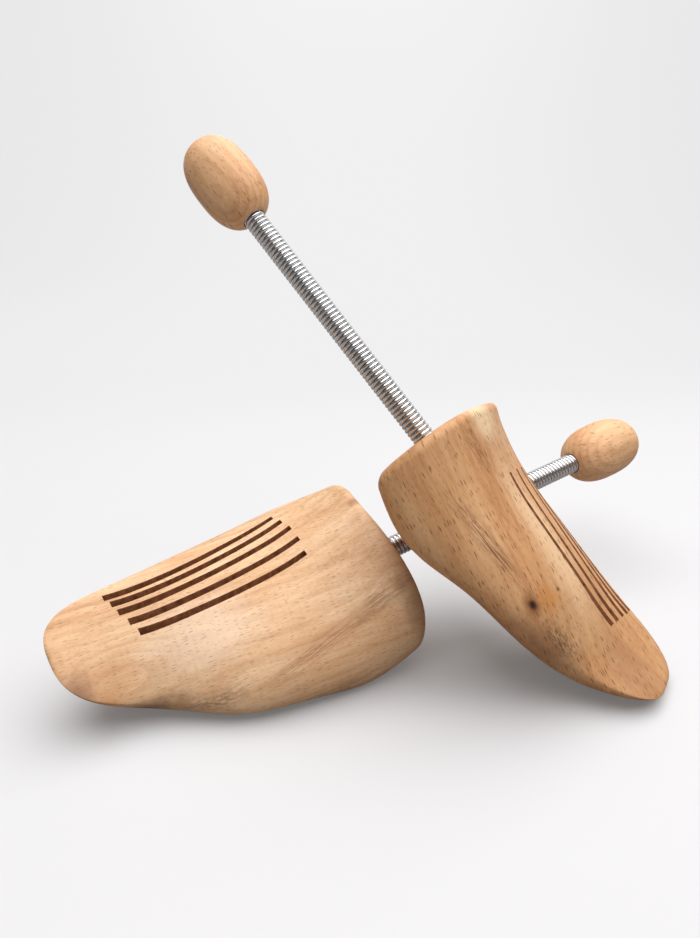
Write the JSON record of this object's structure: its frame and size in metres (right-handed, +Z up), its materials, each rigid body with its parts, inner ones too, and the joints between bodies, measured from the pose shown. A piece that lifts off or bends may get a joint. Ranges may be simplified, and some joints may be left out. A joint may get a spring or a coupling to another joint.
{
  "type": "spiral spring shoe tree",
  "caption": "Pair of wooden shoe trees: a slotted forepart and an oval heel ball joined by a close-wound steel spring, the right tree leaning on the left one's spring.",
  "frame": {"origin": "middle of the pair's footprint, on the table", "axes": "+Z up, +Y away from the viewer of the picture, +X to the viewer's right"},
  "size_m": [0.2662, 0.1696, 0.2115],
  "materials": {
    "beech": "sanded and waxed beech",
    "beech_turned": "turned and waxed beech",
    "dowel_beech": "plain beech dowel",
    "spring_steel": "bright polished spring wire"
  },
  "bodies": {
    "left_forepart": {"left_forepart": "beech", "left_forepart_dowel": "dowel_beech"},
    "left_spring": {"left_spring": "spring_steel"},
    "left_heel": {"left_heel_ball": "beech_turned", "left_heel_dowel": "dowel_beech"},
    "right_forepart": {"right_forepart": "beech", "right_forepart_dowel": "dowel_beech"},
    "right_spring": {"right_spring": "spring_steel"},
    "right_heel": {"right_heel_ball": "beech_turned", "right_heel_dowel": "dowel_beech"}
  },
  "joints": [
    {"name": "left_front_bend", "type": "hinge", "parent": "left_forepart", "child": "left_spring", "pos_m": [0.03125, 0.01661, 0.0448], "axis": [0.5284, -0.849, 0], "range_deg": [-16, 30], "stiffness_Nm_per_rad": 2, "deforming": ["left_spring"]},
    {"name": "left_rear_bend", "type": "hinge", "parent": "left_spring", "child": "left_heel", "pos_m": [0.07397, 0.0432, 0.05286], "axis": [0.5284, -0.849, 0], "range_deg": [-16, 30], "stiffness_Nm_per_rad": 2, "deforming": ["left_spring"]},
    {"name": "lift_right_tree", "type": "slide", "parent": "left_forepart", "child": "right_forepart", "axis": [0, 0, 1], "range_m": [0, 0.06]},
    {"name": "right_front_bend", "type": "hinge", "parent": "right_forepart", "child": "right_spring", "pos_m": [-0.01642, 0.01102, 0.12547], "axis": [0.0975, 0.8913, -0.4428], "range_deg": [-30, 30], "stiffness_Nm_per_rad": 2, "deforming": ["right_spring"]},
    {"name": "right_rear_bend", "type": "hinge", "parent": "right_spring", "child": "right_heel", "pos_m": [-0.0469, 0.03181, 0.16061], "axis": [0.0975, 0.8913, -0.4428], "range_deg": [-30, 30], "stiffness_Nm_per_rad": 2, "deforming": ["right_spring"]}
  ],
  "couplings": [
    {"joint": "left_rear_bend", "follows": "left_front_bend", "ratio": 1},
    {"joint": "right_rear_bend", "follows": "right_front_bend", "ratio": 1}
  ]
}
